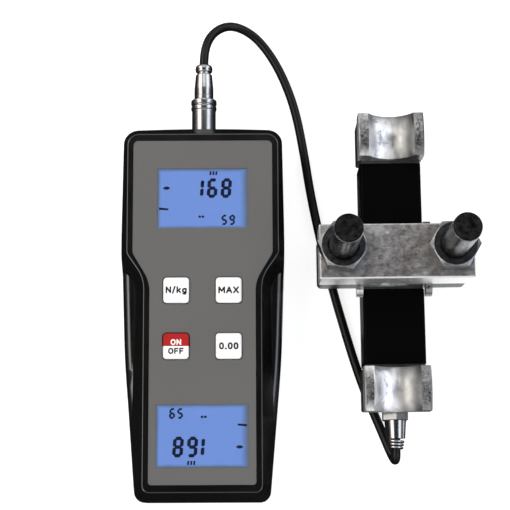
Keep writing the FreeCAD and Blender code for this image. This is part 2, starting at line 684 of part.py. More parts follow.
def battery_door():
    """A sliding door with a tongue each side and thumb ribs on its outside."""
    door = body("battery_door")
    skin = sketch(door, "door_skin", level="door_lift")
    rectangle(skin, "-door_half_width", "door_lower", "door_half_width", "door_upper", "door_corner")
    pad(skin, "door_skin")
    tongue = sketch(door, "door_tongues", level="door_lift + door_skin")
    rectangle(tongue, "-(door_half_width + door_tongue)", "door_lower + door_corner",
              "door_half_width + door_tongue", "door_upper")
    pad(tongue, "door_thick - door_skin")
    ribs = sketch(door, "thumb_grooves", level="door_lift")
    for i in range(round(value("rib_count"))):
        centred(ribs, "0", f"door_upper - rib_level - {i} * rib_pitch", "rib_length", "rib_width")
    pocket(ribs, "rib_depth", up=True)
    return door


def along_socket(label, profile, bore="0"):
    """A turned piece on the socket's axis, its profile (radius, distance along the case)."""
    made = body(label)
    bind(made, Placement__Base__z="parting")
    drawn = sketch(made, label + "_profile")
    first, last = profile[0][1], profile[-1][1]
    outer = [(radius, y, None) for radius, y in profile]
    outline(drawn, [(bore, first, None), *outer, (bore, last, None)])
    turned(drawn)
    return made


def pins(label, radius, low, high, pin_low, pin_high):
    """A round insulator with four contact pins."""
    made = [along_case(bar("Cylinder", Radius=radius, Height=f"{high} - ({low})", **at("0", low, "parting")))]
    for i in range(4):
        angle = math.radians(45 + 90 * i)
        place = at(f"insert_pin_circle * {math.cos(angle):.6f}", pin_low,
                   f"parting + insert_pin_circle * {math.sin(angle):.6f}")
        pin = bar("Cylinder", Radius="insert_pin_radius", Height=f"{pin_high} - ({pin_low})", **place)
        made.append(along_case(pin))
    whole = joined(label, made)
    whole.Label = label
    return whole


def connector():
    shell_profile = [("socket_radius", "socket_inner"), ("socket_radius", "case_inside - socket_flange_thick"),
                     ("socket_flange", "case_inside - socket_flange_thick"), ("socket_flange", "case_inside"),
                     ("socket_radius", "case_inside"), ("socket_radius", "half_length + socket_proud")]
    core_profile = [("core_radius", "core_inner"), ("core_radius", "collar_start")]
    sleeve_profile = [("sleeve_radius", "sleeve_start"), ("sleeve_radius", "first_ring_start"),
                      ("ring_radius", "first_ring_start"), ("ring_radius", "first_ring_end"),
                      ("sleeve_radius", "first_ring_end"), ("sleeve_radius", "second_ring_start"),
                      ("ring_radius", "second_ring_start"), ("ring_radius", "second_ring_end")]
    nut_profile = [("core_radius", "collar_start"), ("core_radius", "cone_start"), ("cone_radius", "cone_end"),
                   ("neck_radius", "cone_end"), ("neck_radius", "end_ring_start"),
                   ("end_ring_radius", "end_ring_start"), ("end_ring_radius", "plug_end")]
    insert_end = "insert_start + insert_length"
    return [along_socket("socket_shell", shell_profile, "socket_bore"),
            along_socket("plug_core", core_profile, "core_bore"),
            along_socket("plug_sleeve", sleeve_profile, "core_radius + fit_gap"),
            along_socket("plug_nut", nut_profile),
            pins("plug_insert", "core_bore", "insert_start", insert_end, "core_inner + plug_gap",
                 insert_end + " + solder_length"),
            pins("socket_insert", "socket_bore", "socket_inner", "core_inner", "socket_inner - pin_show",
                 "socket_inner")]


# The cord from the plug to the gland: over the plug's end, down to the table and up in a tight turn
CORD_ROUTE = [(0, 114.2, 16), (0, 121.8, 16), (3.9, 131.2, 12.2), (11.8, 136.6, 7), (21.5, 133.6, 3.6),
              (29.3, 125.2, 2.1), (36, 113, 2.1), (41.6, 97.2, 2.1), (45.2, 78, 2.1), (48.4, 56, 2.1),
              (53, 33.5, 2.1), (58.2, 11.5, 2.1), (63.2, -6.5, 2.1), (67.6, -21.5, 2.1), (72.6, -36, 2.1),
              (78.4, -50, 2.1), (83.9, -63.6, 2.1), (84.01, -63.6, 12), (83.94, -54.4, 12),
              (83.89, -46.7, 12)]


def rounded_path(points, share=0.45):
    """Straight runs joined by tangent arcs, each as large as its two runs allow."""
    edges, radii = [], []
    here = points[0]
    for i in range(1, len(points) - 1):
        back, ahead = points[i - 1] - points[i], points[i + 1] - points[i]
        cut = share * min(back.Length, ahead.Length)
        half_turn = (math.pi - back.getAngle(ahead)) / 2
        radii.append(cut / math.tan(half_turn))
        start, end = points[i] + back.normalize() * cut, points[i] + ahead.normalize() * cut
        inward = (back + ahead).normalize()
        middle = points[i] + inward * (radii[-1] / math.cos(half_turn) - radii[-1])
        edges += [Part.LineSegment(here, start).toShape(), Part.Arc(start, middle, end).toShape()]
        here = end
    edges.append(Part.LineSegment(here, points[-1]).toShape())
    return Part.Wire(edges), radii


def signal_cord():
    path, radii = rounded_path([Vector(*point) for point in CORD_ROUTE])
    radius = value("cord_diameter / 2")
    start = path.Edges[0]
    ring = Part.makeCircle(radius, start.Vertexes[0].Point, start.tangentAt(start.FirstParameter))
    tube = Part.Wire(path).makePipeShell([Part.Wire(ring)], True, False)
    cord = doc.addObject("Part::Feature", "signal_cord")
    cord.Shape = tube
    print("cord arc radii", [round(r, 1) for r in radii])
    print("cord length", round(path.Length, 2), "volume", round(tube.Volume, 1),
          "section times length", round(math.pi * radius ** 2 * path.Length, 1))
    return cord


def beam():
    """The sensing bar with a head at each end, ears for the studs and beds for the gauges."""
    made = beside_meter(body("beam"))
    side = sketch(made, "bar_side", "YZ_Plane")
    rectangle(side, "span_middle - half_span", "bar_bottom", "span_middle + half_span", "bar_top")
    pad(side, "2 * bar_half_width", both=True)
    heads = sketch(made, "bar_heads", level="head_bottom")
    for low, high in (("half_span", "head_reach"), ("-head_reach", "-half_span")):
        rectangle(heads, "-head_half_width", f"span_middle + ({low})", "head_half_width",
                  f"span_middle + ({high})", "head_corner")
    pad(heads, "bar_top - head_bottom")
    ears = sketch(made, "bar_ears", level="ear_bottom")
    rectangle(ears, "-ear_half_width", "-ear_half_depth", "ear_half_width", "ear_half_depth", "ear_corner")
    pad(ears, "bar_top - ear_bottom")
    holes = sketch(made, "stud_holes", level="stud_bottom")
    circles(holes, mirrored("stud_column", "stud_level"), "stud_radius")
    pocket(holes, "bar_top - stud_bottom", up=True)
    gauges = sketch(made, "gauge_beds", level="bar_top")
    for level in ("span_middle + gauge_level", "span_middle - gauge_level"):
        centred(gauges, "0", level, "gauge_width + gauge_margin", "gauge_length + gauge_margin")
    pocket(gauges, "gauge_thick")
    mouth = sketch(made, "gland_hole", "XZ_Plane", "-gland_start")
    circle(mouth, "0", "gland_height", "spigot_radius")
    pocket(mouth, "spigot_length")
    drilled = sketch(made, "saddle_screw_holes", level="head_bottom")
    circles(drilled, SADDLE_SCREWS, "saddle_screw_radius")
    pocket(drilled, "bar_top - head_bottom", up=True)
    sinks = sketch(made, "saddle_screw_sinks", level="head_bottom")
    circles(sinks, SADDLE_SCREWS, "saddle_screw_head")
    pocket(sinks, "saddle_screw_head_thick", up=True)
    return made


def cover(label, low, high):
    """A rubber sleeve round one arm of the bar."""
    made = beside_meter(body(label))
    drawn = sketch(made, label + "_section", "XZ_Plane", f"-({high})")
    rectangle(drawn, "-cover_half_width", "0", "cover_half_width", "cover_top", "cover_round")
    rectangle(drawn, "-bar_half_width", "bar_bottom", "bar_half_width", "bar_top")
    pad(drawn, f"({high}) - ({low})")
    return made


def end_saddle(label, middle):
    """A block with a barrel top, rounded flanges and a rope groove that bends over it."""
    made = beside_meter(body(label))
    side = sketch(made, label + "_side", "YZ_Plane")
    centred(side, middle, "bar_top + saddle_rise / 2", "saddle_length", "saddle_rise")
    pad(side, "2 * head_half_width", both=True)
    barrel = sketch(made, label + "_barrel", "YZ_Plane")
    centred(barrel, middle, "saddle_axis", "4 * saddle_curve", "4 * saddle_curve")
    circle(barrel, middle, "saddle_axis", "saddle_curve")
    crowned = pocket(barrel, "4 * head_half_width", both=True)
    rounded(crowned, "saddle_edge", lambda e: e.Curve.TypeId == "Part::GeomCircle", "Chamfer")
    rope = sketch(made, label + "_groove", "XZ_Plane", f"-({middle})", "saddle_axis")
    circle(rope, "0", "saddle_curve - groove_depth + groove_radius", "groove_radius")
    turned(rope, "Groove", "H_Axis")
    holes = sketch(made, label + "_holes", level="bar_top")
    circles(holes, mirrored("saddle_screw_offset", middle), "saddle_screw_radius")
    pocket(holes, "saddle_screw_reach", up=True)
    return made


def middle_saddle():
    """The fixed rope seat under the plate, with a cheek that laps each side of the covers."""
    made = beside_meter(body("middle_saddle"))
    base = sketch(made, "middle_base", level="bar_top")
    rectangle(base, "-middle_half_width", "-middle_half_length", "middle_half_width", "middle_half_length")
    pad(base, "middle_rise")
    cheeks = sketch(made, "cheeks", level="bar_top")
    for left, right in (("-middle_half_width", "-cheek_inside"), ("cheek_inside", "middle_half_width")):
        rectangle(cheeks, left, "-cheek_half_length", right, "cheek_half_length")
    cheek = pad(cheeks, "middle_rise")
    rounded(cheek, "cheek_corner", lambda e: on_level(e, value("middle_top"))
            and abs(abs(e.BoundBox.YMin) - value("cheek_half_length")) < 0.01 and e.BoundBox.YLength < 0.01)
    rope = sketch(made, "middle_rope_groove", "XZ_Plane")
    circle(rope, "0", "middle_top + middle_groove - middle_depth", "middle_groove")
    pocket(rope, "4 * cheek_half_length", both=True)
    return made


def clamp_plate():
    made = beside_meter(body("clamp_plate"))
    base = sketch(made, "plate_outline", level="middle_top")
    rectangle(base, "-plate_half_length", "-plate_half_depth", "plate_half_length", "plate_half_depth",
              "plate_edge")
    circles(base, mirrored("stud_column", "stud_level"), "stud_radius + stud_hole_gap")
    block = pad(base, "plate_thick")
    rounded(block, "plate_edge", lambda e: on_level(e, value("plate_top"))
            and e.Curve.TypeId == "Part::GeomLine", "Chamfer")
    rope = sketch(made, "plate_rope_groove", "XZ_Plane")
    circle(rope, "0", "middle_top", "plate_groove")
    pocket(rope, "4 * plate_half_depth", both=True)
    return made


def studs():
    made = []
    for x, y in mirrored("stud_column", "stud_level"):
        rod = bar("Cylinder", Radius="stud_radius", Height="stud_top - stud_bottom - stud_chamfer",
                  **at(x, y, "stud_bottom"))
        tip = bar("Cone", Radius1="stud_radius", Radius2="stud_radius - stud_chamfer", Height="stud_chamfer",
                  **at(x, y, "stud_top - stud_chamfer"))
        made.append(joined("stud", [rod, tip]))
    return beside_meter(group("studs", made))


def nut(label, side, turn):
    """A hexagon nut with both rims chamfered, resting on the clamp plate."""
    column = side + "stud_column"
    prism = body(label + "_prism")
    drawn = sketch(prism, label + "_hexagon", level="plate_top")
    hexagon(drawn, column, "stud_level", "nut_flats", turn)
    circle(drawn, column, "stud_level", "stud_radius + fit_gap")
    pad(drawn, "nut_height")
    whole = prism
    for name, tip, base in ((label + "_lower", 0, "plate_top"), (label, 180, "plate_top + nut_height")):
        cone = bar("Cone", Radius1="nut_rim", Radius2="nut_rim + nut_height * sqrt(3)", Height="nut_height",
                   **at(column, "stud_level", base))
        cone.Placement.Rotation = Rotation(Vector(1, 0, 0), tip)
        rimmed = doc.addObject("Part::Common", name)
        rimmed.Base = whole
        rimmed.Tool = cone
        whole = rimmed
    whole.Label = label
    return beside_meter(whole)


def gland_tube(label, start, length, radius, tip_radius):
    """A tapered tube round the cord, its wide end towards the beam."""
    made = beside_meter(body(label))
    bind(made, Placement__Base__z="gland_height")
    drawn = sketch(made, label + "_section")
    low = f"{start} - {length}"
    outline(drawn, [("cord_bore", low, None), (tip_radius, low, None), (radius, start, None),
                    ("cord_bore", start, None)])
    turned(drawn)
    return made


def gland():
    """A hexagon on a spigot in the beam's end, a tapered barrel and the cone of its strain spring."""
    hexed = beside_meter(body("gland_body"))
    flats = sketch(hexed, "gland_hexagon", "XZ_Plane", "-gland_start")
    hexagon(flats, "0", "gland_height", "gland_flats", 30)
    block = pad(flats, "hex_length")
    rounded(block, "hex_edge", lambda e: abs(e.BoundBox.YMin - value("barrel_start")) < 0.01
            and e.BoundBox.YLength < 0.01, "Chamfer")
    spigot = sketch(hexed, "gland_spigot", "XZ_Plane", "-gland_start")
    circle(spigot, "0", "gland_height", "spigot_radius")
    pad(spigot, "spigot_length", down=True)
    barrel = gland_tube("gland_barrel", "barrel_start", "barrel_length", "barrel_radius", "barrel_tip_radius")
    spring = gland_tube("strain_spring", "spring_start", "spring_length", "spring_radius", "spring_tip_radius")
    return [hexed, barrel, spring]


def strain_gauges():
    made = []
    for level in ("span_middle + gauge_level", "span_middle - gauge_level"):
        made.append(bar("Box", Length="gauge_width", Width="gauge_length", Height="gauge_thick",
                        **at("-gauge_width / 2", level + " - gauge_length / 2", "bar_top - gauge_thick")))
    return beside_meter(group("strain_gauges", made))


def assembly():
    meter = [front_housing(), rear_housing(), front_panel(), *displays(), *keys(), main_board(), key_switches(),
             screws("board_screws", BOARD_SCREWS, "board_screw_head", "board_screw_head_thick",
                    "board_screw_radius", "board_screw_reach", "board_screw_low"),
             screws("housing_screws", CASE_SCREWS, "case_screw_head", "case_screw_head_thick",
                    "case_screw_radius", "case_screw_reach", "case_screw_low"),
             *batteries(), battery_door(), *connector(), signal_cord()]
    covers = [cover("upper_cover", "cover_inner", "span_middle + cover_reach"),
              cover("lower_cover", "span_middle - cover_reach", "-cover_inner")]
    saddles = [end_saddle(label, middle) for label, middle in SADDLES.items()]
    held = screws("saddle_screws", SADDLE_SCREWS, "saddle_screw_head", "saddle_screw_head_thick",
                  "saddle_screw_radius", "saddle_screw_length - saddle_screw_head_thick", "head_bottom")
    clamp = [clamp_plate(), studs(), nut("left_nut", "-", -9), nut("right_nut", "", 0)]
    return [*meter, beam(), *covers, *saddles, middle_saddle(), strain_gauges(), beside_meter(held), *clamp,
            *gland()]


pieces = assembly()
doc.recompute()
broken = [thing.Label for thing in doc.Objects if "Invalid" in thing.State or "Error" in thing.State]
broken += [piece.Label for piece in pieces if piece.Shape.isNull() or not piece.Shape.isValid()]
if broken:
    raise RuntimeError(f"not built: {broken}")
for piece in pieces:
    piece.Shape.exportStep(f"parts/{piece.Label}.step")
print(len(pieces), "pieces,", sum(len(piece.Shape.Solids) for piece in pieces), "solids")
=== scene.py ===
import json
import math

import bmesh
import bpy
from mathutils import Matrix, Vector


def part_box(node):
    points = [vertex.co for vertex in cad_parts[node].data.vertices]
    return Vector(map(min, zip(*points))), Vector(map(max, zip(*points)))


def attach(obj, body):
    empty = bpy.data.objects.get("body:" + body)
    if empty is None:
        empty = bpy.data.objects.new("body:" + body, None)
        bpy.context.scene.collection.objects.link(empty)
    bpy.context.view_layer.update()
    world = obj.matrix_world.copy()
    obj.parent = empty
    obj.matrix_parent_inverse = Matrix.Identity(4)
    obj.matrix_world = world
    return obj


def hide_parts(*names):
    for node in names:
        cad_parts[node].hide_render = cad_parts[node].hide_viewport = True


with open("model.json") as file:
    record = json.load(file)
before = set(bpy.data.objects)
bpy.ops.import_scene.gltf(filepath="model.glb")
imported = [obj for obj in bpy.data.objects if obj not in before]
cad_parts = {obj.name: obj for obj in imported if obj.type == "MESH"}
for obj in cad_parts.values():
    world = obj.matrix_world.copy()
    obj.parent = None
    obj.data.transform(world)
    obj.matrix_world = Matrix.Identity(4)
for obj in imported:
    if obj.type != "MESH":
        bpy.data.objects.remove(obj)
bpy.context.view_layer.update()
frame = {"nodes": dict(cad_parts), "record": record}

nodes = frame["nodes"]
MM = 0.001
# The sensor is turned a little about the vertical, as its solids are
SENSOR_TURN = math.radians(0.4)


def middle(name):
    """A node's middle and its lowest and highest corners, in millimetres."""
    low, high = (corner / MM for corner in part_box(name))
    return (low + high) / 2, low, high


# Node trees of materials and of the surroundings
class Tree:
    """A node tree and short calls that add nodes to it."""

    def __init__(self, tree):
        self.tree = tree

    def node(self, kind, inputs=(), **settings):
        made = self.tree.nodes.new("ShaderNode" + kind)
        for name, value in settings.items():
            setattr(made, name, value)
        for socket, value in dict(inputs).items():
            if isinstance(value, bpy.types.NodeSocket):
                self.tree.links.new(value, made.inputs[socket])
            else:
                made.inputs[socket].default_value = value
        return made

    def math(self, operation, first, second=0.0):
        return self.node("Math", {0: first, 1: second}, operation=operation).outputs[0]

    def step(self, value, start, end):
        """0 before start and 1 after end, with a soft change between; start may be the larger."""
        return self.node("MapRange", {"Value": value, "From Min": start, "From Max": end},
                         interpolation_type="SMOOTHSTEP").outputs[0]

    def span(self, factor, low, high, start=0.0, end=1.0):
        """The factor, from start to end, taken to low to high."""
        return self.node("MapRange", {"Value": factor, "From Min": start, "From Max": end,
                                      "To Min": low, "To Max": high}).outputs[0]

    def axis(self, vector, letter):
        return self.node("SeparateXYZ", {"Vector": vector}).outputs[letter]

    def scaled(self, vector, factor):
        return self.node("VectorMath", {0: vector, "Scale": factor}, operation="SCALE").outputs[0]

    def added(self, first, second):
        return self.node("VectorMath", {0: first, 1: second}, operation="ADD").outputs[0]

    def mixed(self, factor, first, second, blend="MIX"):
        made = self.node("MixRGB", {"Fac": factor, "Color1": first, "Color2": second}, blend_type=blend)
        return made.outputs[0]

    def ramp(self, factor, *stops):
        """A ramp of (position, colour) stops; a colour is a grey level or three numbers."""
        made = self.node("ValToRGB", {"Fac": factor})
        elements = made.color_ramp.elements
        while len(elements) < len(stops):
            elements.new(0.5)
        for element, (position, color) in zip(elements, stops):
            element.position = position
            rgb = (color,) * 3 if isinstance(color, (int, float)) else color
            element.color = (*rgb, 1)
        return made.outputs["Color"]


class Shader(Tree):
    """A Principled material."""

    def __init__(self, name, color=(0.5, 0.5, 0.5), roughness=0.5, metallic=0.0, **sockets):
        self.material = bpy.data.materials.new(name)
        self.material.use_nodes = True
        super().__init__(self.material.node_tree)
        self.bsdf = self.tree.nodes["Principled BSDF"]
        self.bsdf.inputs["Base Color"].default_value = (*color, 1)
        self.bsdf.inputs["Roughness"].default_value = roughness
        self.bsdf.inputs["Metallic"].default_value = metallic
        for socket, value in sockets.items():
            self.bsdf.inputs[socket.replace("_", " ")].default_value = value
        coordinates = self.node("TexCoord").outputs
        self.place = coordinates["Object"]
        self.share = coordinates["Generated"]

    def stretched(self, scale, turn=(0, 0, 0)):
        """Object coordinates, scaled along each axis and turned."""
        return self.node("Mapping", {"Vector": self.place, "Scale": scale, "Rotation": turn}).outputs[0]

    def noise(self, scale, detail=3.0, roughness=0.5, vector=None, distortion=0.0):
        made = self.node("TexNoise", {"Vector": vector or self.place, "Scale": scale, "Detail": detail,
                                      "Roughness": roughness, "Distortion": distortion})
        return made.outputs["Fac"]

    def level_faces(self, limit=0.8):
        """1 on faces that lie level, 0 on the steeper ones."""
        lean = self.math("ABSOLUTE", self.axis(self.node("NewGeometry").outputs["Normal"], "Z"))
        return self.step(lean, limit - 0.05, limit + 0.05)

    def color(self, output):
        self.tree.links.new(output, self.bsdf.inputs["Base Color"])
        return self

    def rough(self, output):
        self.tree.links.new(output, self.bsdf.inputs["Roughness"])
        return self

    def bump(self, height, distance, strength=1.0):
        made = self.node("Bump", {"Height": height, "Distance": distance, "Strength": strength})
        self.tree.links.new(made.outputs[0], self.bsdf.inputs["Normal"])
        return self


def gloss_black():
    """Polished black moulding with faint handling smears."""
    made = Shader("case_black", (0.0012, 0.0012, 0.0015), 0.16, Specular_IOR_Level=0.85)
    made.rough(made.span(made.noise(70, 4), 0.16, 0.28))
    return made.bump(made.noise(500, 2), 0.00001, 0.15).material


def panel_grey():
    """Printed overlay: matte, with a fine even grain."""
    made = Shader("panel_grey", (0.112, 0.111, 0.108), 0.55, Specular_IOR_Level=0.3)
    grain = made.noise(2500, 3)
    made.color(made.ramp(made.noise(25, 3), (0.3, (0.110, 0.108, 0.105)), (0.7, (0.116, 0.114, 0.111))))
    return made.rough(made.span(grain, 0.5, 0.65)).bump(grain, 0.00002, 0.4).material


def clear_window():
    made = Shader("window_clear", (0.95, 0.97, 1.0), 0.03, Transmission_Weight=1.0, IOR=1.2)
    return made.rough(made.span(made.noise(300, 2), 0.02, 0.05)).material


SCREEN_WIDTH = 39.6
SCREEN_HEIGHT = 26.8
# Distances from the right edge count for this share, so the border there is wider
RIGHT_BORDER = 0.45


def lit_screen():
    """Backlit blue, darker and greyer towards its edges, most so on the right."""
    made = Shader("display_blue", (0.01, 0.015, 0.03), 0.5)
    across, along = (made.axis(made.share, letter) for letter in "XY")
    edges = [made.math("MULTIPLY", across, SCREEN_WIDTH),
             made.math("MULTIPLY", made.math("SUBTRACT", 1.0, across), SCREEN_WIDTH * RIGHT_BORDER),
             made.math("MULTIPLY", along, SCREEN_HEIGHT),
             made.math("MULTIPLY", made.math("SUBTRACT", 1.0, along), SCREEN_HEIGHT)]
    nearest = made.math("MINIMUM", made.math("MINIMUM", *edges[:2]), made.math("MINIMUM", *edges[2:]))
    nearest = made.math("ADD", nearest, made.span(made.noise(160, 2), -0.25, 0.25))
    glow = made.ramp(made.math("MULTIPLY", nearest, 0.5), (0.12, (0.1, 0.135, 0.19)),
                     (0.46, (0.12, 0.21, 0.46)), (0.78, (0.15, 0.27, 0.655)))
    made.tree.links.new(glow, made.bsdf.inputs["Emission Color"])
    made.bsdf.inputs["Emission Strength"].default_value = 1.0
    return made.material


def satin_rubber(name, level, roughness, specular=0.3, ior=1.5):
    made = Shader(name, (level,) * 3, roughness, Specular_IOR_Level=specular, IOR=ior)
    grain = made.noise(1800, 3)
    made.rough(made.span(grain, roughness - 0.08, roughness + 0.1))
    return made.bump(grain, 0.00003, 0.4).material


def key_cap(name, red_above=None):
    """White moulded cap; above the given level along the case it is printed red."""
    white = (0.86, 0.86, 0.85)
    made = Shader(name, white, 0.4, Specular_IOR_Level=0.3)
    if red_above is not None:
        upper = made.math("GREATER_THAN", made.axis(made.place, "Y"), red_above * MM)
        red = made.ramp(made.noise(500, 2), (0.3, (0.37, 0.009, 0.011)), (0.7, (0.41, 0.012, 0.014)))
        made.color(made.mixed(upper, (*white, 1), red))
    return made.rough(made.span(made.noise(1500, 2), 0.32, 0.5)).material


def metal(name, color, roughness, grain=(1, 1, 1), scale=400, marks=0.15, depth=0.00002):
    """Machined metal: fine marks drawn out along the axis that the grain scales least."""
    made = Shader(name, color, roughness, 1.0)
    lines = made.noise(scale, 5, 0.6, made.stretched(grain))
    dark = tuple(c * (1 - marks) for c in color)
    made.color(made.ramp(made.noise(120, 4, 0.6), (0.35, dark), (0.65, color)))
    made.rough(made.span(lines, roughness * 0.75, roughness * 1.35))
    return made.bump(lines, depth, 0.5).material


def ground_plate():
    """Ground steel: warm grey and mottled, with short scratches; its sides are painted brighter than its
    level faces, a painted sheen.
    """
    made = Shader("plate_metal", (0.5, 0.5, 0.5), 0.42, 1.0)
    clouds = made.noise(70, 6, 0.6, distortion=0.4)
    mottle = made.noise(420, 6, 0.7)
    scratches = made.noise(1300, 5, 0.7, made.stretched((0.3, 1, 1), (0, 0, 0.5)))
    tone = made.ramp(clouds, (0.32, (0.4, 0.37, 0.36)), (0.5, (0.56, 0.54, 0.53)),
                     (0.66, (0.78, 0.77, 0.76)))
    tone = made.mixed(1.0, tone, made.ramp(mottle, (0.32, 0.5), (0.64, 1.0)), "MULTIPLY")
    tone = made.mixed(1.0, tone, made.ramp(scratches, (0.3, 0.68), (0.7, 1.0)), "MULTIPLY")
    # Painted sheen: steep faces get this lighter tone in place of the mottled one
    bright = made.ramp(mottle, (0.3, 0.9), (0.7, 1.0))
    made.color(made.mixed(made.level_faces(), bright, tone))
    made.rough(made.span(mottle, 0.36, 0.52, 0.3, 0.7))
    return made.bump(scratches, 0.00003, 0.6).material


# Offsets from the sensor's middle, in millimetres: where the painted shade over the groove's right side
# fades in, and where the flanges begin
SHADE_FROM, SHADE_TO = -1, 3.5
FLANGE_FROM, FLANGE_TO = 9.8, 10.3


def polished_saddle():
    """Turned and hand-polished steel with streaks along the rope's way, with painted shade over its right
    side.
    """
    made = Shader("saddle_metal", (0.7, 0.7, 0.69), 0.35, 1.0)
    streaks = made.noise(330, 5, 0.65, made.stretched((1, 0.2, 0.2), (0, 0, 0.18)))
    patches = made.noise(110, 5, 0.65, distortion=0.8)
    tone = made.ramp(streaks, (0.3, 0.5), (0.46, 0.9), (0.58, 1.0))
    cloud = made.ramp(patches, (0.36, 0.45), (0.46, 0.9), (0.56, 1.0))
    centre = middle("middle_saddle")[0].x
    # Painted shade: the saddle's right side is painted darker, mixed most of the way towards grey, where
    # less light falls
    across = made.math("ADD", made.axis(made.place, "X"), made.span(patches, -3 * MM, 3 * MM))
    right_shade = made.step(across, (centre + SHADE_FROM) * MM, (centre + SHADE_TO) * MM)
    wear_and_shade = made.mixed(1.0, tone, cloud, "MULTIPLY")
    wear_and_shade = made.mixed(made.math("MULTIPLY", right_shade, 0.85), wear_and_shade, (0.22, 0.217, 0.213, 1))
    offset = made.math("ABSOLUTE", made.math("SUBTRACT", made.axis(made.place, "X"), centre * MM))
    flange = made.step(offset, FLANGE_FROM * MM, FLANGE_TO * MM)
    # Painted shade: the flanges' level crowns are painted dark and mottled, a painted reflection of the
    # dark overhead
    crown = made.math("MULTIPLY", flange, made.level_faces(0.93))
    crown_shade = made.ramp(made.noise(700, 4, 0.7), (0.36, 0.05), (0.62, 0.42))
    made.color(made.mixed(crown, wear_and_shade, crown_shade))
    made.rough(made.span(patches, 0.5, 0.34, 0.35, 0.65))
    return made.bump(streaks, 0.00003, 0.6).material


# How far down from a stud's top its black end and its bright rim reach
STUD_END = 0.62
STUD_RIM = 1.15


def dark_stud():
    """Blackened steel: a shank with wear, a bright rim and a matte black end."""
    made = Shader("stud_steel", (0.2, 0.2, 0.21), 0.3, 1.0)
    top = middle("studs")[2].z
    height = made.axis(made.place, "Z")
    end = made.math("GREATER_THAN", height, (top - STUD_END) * MM)
    rim = made.math("GREATER_THAN", height, (top - STUD_RIM) * MM)
    wear = made.noise(420, 5, 0.7, made.stretched((1, 1, 0.22)))
    shank = made.ramp(wear, (0.36, (0.045, 0.046, 0.05)), (0.5, (0.1, 0.102, 0.108)),
                      (0.64, (0.28, 0.28, 0.29)))
    face = made.ramp(made.noise(420, 4, 0.6), (0.35, 0.004), (0.68, 0.03))
    made.color(made.mixed(end, made.mixed(rim, shank, (0.55, 0.55, 0.55, 1)), face))
    made.rough(made.math("ADD", made.span(wear, 0.2, 0.36), made.math("MULTIPLY", end, 0.3)))
    return made.bump(wear, 0.00002, 0.5).material


def dark_nut():
    """Blackened hexagon whose level faces are painted darker than its flanks and chamfers, as painted
    shade.
    """
    made = Shader("nut_steel", (0.16, 0.165, 0.17), 0.3, 1.0)
    mottle = made.noise(420, 5, 0.7)
    flank = made.ramp(mottle, (0.34, (0.09, 0.093, 0.097)), (0.64, (0.25, 0.255, 0.26)))
    face = made.ramp(mottle, (0.34, (0.05, 0.055, 0.058)), (0.66, (0.125, 0.13, 0.135)))
    # Painted shade: level faces take the darker tone, flanks and chamfers the lighter one
    made.color(made.mixed(made.level_faces(0.94), flank, face))
    return made.rough(made.span(mottle, 0.24, 0.42)).bump(mottle, 0.00002, 0.5).material


def plain(name, color, roughness=0.5, metallic=0.0, specular=0.5):
    made = Shader(name, color, roughness, metallic, Specular_IOR_Level=specular)
    return made.rough(made.span(made.noise(700, 2), roughness * 0.85, roughness * 1.15)).material


MATERIALS = {
    "case_black": gloss_black(),
    "panel_grey": panel_grey(),
    "window_clear": clear_window(),
    "display_blue": lit_screen(),
    "diffuser_white": plain("diffuser_white", (0.8, 0.82, 0.85), 0.5),
    "key_white": key_cap("key_white"),
    "key_red": key_cap("key_red", middle("key_power")[0].y),
    "board_green": plain("board_green", (0.015, 0.11, 0.04), 0.35),
    "switch_black": plain("switch_black", (0.02, 0.02, 0.02), 0.5),
    "screw_steel": metal("screw_steel", (0.4, 0.4, 0.41), 0.3),
    "cell_metal": plain("cell_metal", (0.12, 0.12, 0.14), 0.3, 0.6),
    "contact_metal": metal("contact_metal", (0.6, 0.6, 0.59), 0.25),
    "plug_chrome": metal("plug_chrome", (0.42, 0.42, 0.42), 0.22, (1, 0.05, 1), marks=0.12, depth=0.000005),
    "insert_black": plain("insert_black", (0.02, 0.02, 0.02), 0.45),
    "cord_black": satin_rubber("cord_black", 0.004, 0.34, 0.2),
    "beam_steel": metal("beam_steel", (0.11, 0.115, 0.115), 0.42, marks=0.45, scale=700),
    "saddle_metal": polished_saddle(),
    "plate_metal": ground_plate(),
    "stud_steel": dark_stud(),
    "nut_steel": dark_nut(),
    "cover_black": satin_rubber("cover_black", 0.0012, 0.5, 0.3, 1.12),
    "gauge_foil": plain("gauge_foil", (0.5, 0.3, 0.1), 0.4, 0.5),
    "gland_nickel": metal("gland_nickel", (0.46, 0.46, 0.46), 0.2, (1, 0.05, 1), marks=0.12, depth=0.00001),
}
INK_BLACK = plain("ink_black", (0.012, 0.012, 0.014), 0.6, specular=0.2)
INK_WHITE = plain("ink_white", (0.85, 0.84, 0.82), 0.6, specular=0.2)
SEGMENT_NAVY = plain("segment_navy", (0.004, 0.008, 0.035), 0.6, specular=0.2)


def dress_nodes():
    """Every CAD node gets its slot's material."""
    for part in frame["record"]["subparts"]:
        node = nodes[part["node"]]
        node.data.materials.clear()
        node.data.materials.append(MATERIALS[part["material_slot"]])


# New pieces
def piece(name, form, material, body, stands_for=(), sharp=35):
    """A mesh piece from a filled bmesh, in millimetres, riding on a body."""
    bmesh.ops.recalc_face_normals(form, faces=form.faces)
    bmesh.ops.scale(form, vec=(MM, MM, MM), verts=form.verts)
    mesh = bpy.data.meshes.new(name)
    form.to_mesh(mesh)
    form.free()
    made = bpy.data.objects.new(name, mesh)
    bpy.context.scene.collection.objects.link(made)
    mesh.materials.append(material)
    mesh.shade_smooth()
    mesh.set_sharp_from_angle(angle=math.radians(sharp))
    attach(made, body)
    if stands_for:
        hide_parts(*stands_for)
    return made


# The most of a straight run that a curve at its end may take
EASED_SHARE = 0.48


